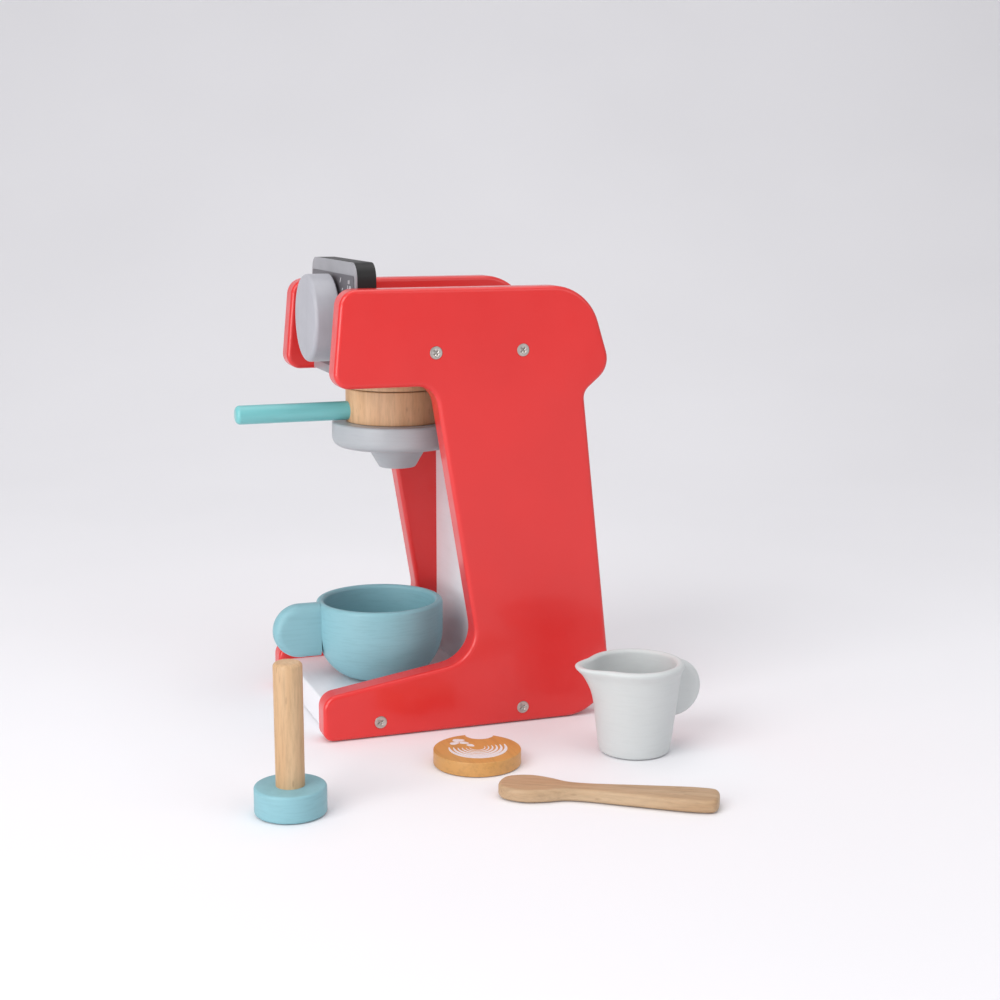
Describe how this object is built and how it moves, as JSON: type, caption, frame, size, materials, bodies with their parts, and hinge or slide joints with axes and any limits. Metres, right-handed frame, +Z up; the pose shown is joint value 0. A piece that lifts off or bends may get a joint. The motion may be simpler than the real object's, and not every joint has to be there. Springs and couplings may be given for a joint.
{
  "type": "toy coffee maker",
  "caption": "Toy espresso machine with two curved side panels, a turning knob, a swivelling portafilter, and a cup, milk jug, tamper, latte disc and spoon.",
  "frame": {"origin": "middle of the machine's base, on the surface that it stands on", "axes": "+Z up, -Y towards the machine's front, +X towards its right side panel"},
  "size_m": [0.3042, 0.2645, 0.2717],
  "materials": {
    "red_paint": "satin",
    "white_paint": "satin",
    "black_paint": "satin",
    "grey_paint": "satin",
    "teal_paint": "satin",
    "natural_wood": "satin",
    "caramel_paint": "satin",
    "display_film": "satin",
    "spacer_plastic": "satin",
    "steel": "satin"
  },
  "bodies": {
    "machine": {"right_side_panel": "red_paint", "left_side_panel": "red_paint", "right_side_screws": "steel", "left_side_screws": "steel", "base_board": "white_paint", "back_board": "white_paint", "head_shelf": "white_paint", "back_board_dowels": "natural_wood", "control_board_dowels": "natural_wood", "control_board": "black_paint", "control_face": "grey_paint", "display_panel": "display_film", "knob_spacer": "spacer_plastic", "brew_head": "natural_wood", "brew_head_magnets": "steel", "brew_head_screws": "steel"},
    "knob_set": {"knob": "grey_paint", "knob_axle": "natural_wood", "knob_retainer": "natural_wood", "knob_screw": "steel"},
    "portafilter": {"portafilter_basket": "natural_wood", "portafilter_magnets": "steel", "portafilter_dish": "grey_paint", "portafilter_nozzle": "grey_paint", "portafilter_pin": "natural_wood", "portafilter_handle": "teal_paint"},
    "cup": {"cup_body": "teal_paint", "cup_handle": "teal_paint", "cup_handle_dowel": "natural_wood"},
    "jug": {"jug_body": "white_paint", "jug_handle": "white_paint", "jug_handle_dowel": "natural_wood"},
    "tamper": {"tamper_base": "teal_paint", "tamper_handle": "natural_wood"},
    "latte": {"latte_disc": "caramel_paint"},
    "stirring_spoon": {"spoon": "natural_wood"}
  },
  "joints": [
    {"name": "knob_turn", "type": "hinge", "parent": "machine", "child": "knob_set", "pos_m": [0, -0.0724, 0.2382], "axis": [0, -1, 0], "continuous": true},
    {"name": "portafilter_swivel", "type": "hinge", "parent": "machine", "child": "portafilter", "pos_m": [0, -0.0245, 0.19], "axis": [0, 0, 1], "range_deg": [-60, 60]},
    {"name": "cup_slide", "type": "slide", "parent": "machine", "child": "cup", "axis": [0, -1, 0], "range_m": [0, 0.12]},
    {"name": "jug_lift", "type": "slide", "parent": "machine", "child": "jug", "axis": [0, 0, 1], "range_m": [0, 0.08]},
    {"name": "tamper_lift", "type": "slide", "parent": "machine", "child": "tamper", "axis": [0, 0, 1], "range_m": [0, 0.08]},
    {"name": "latte_lift", "type": "slide", "parent": "machine", "child": "latte", "axis": [0, 0, 1], "range_m": [0, 0.05]},
    {"name": "spoon_lift", "type": "slide", "parent": "machine", "child": "stirring_spoon", "axis": [0, 0, 1], "range_m": [0, 0.05]}
  ]
}
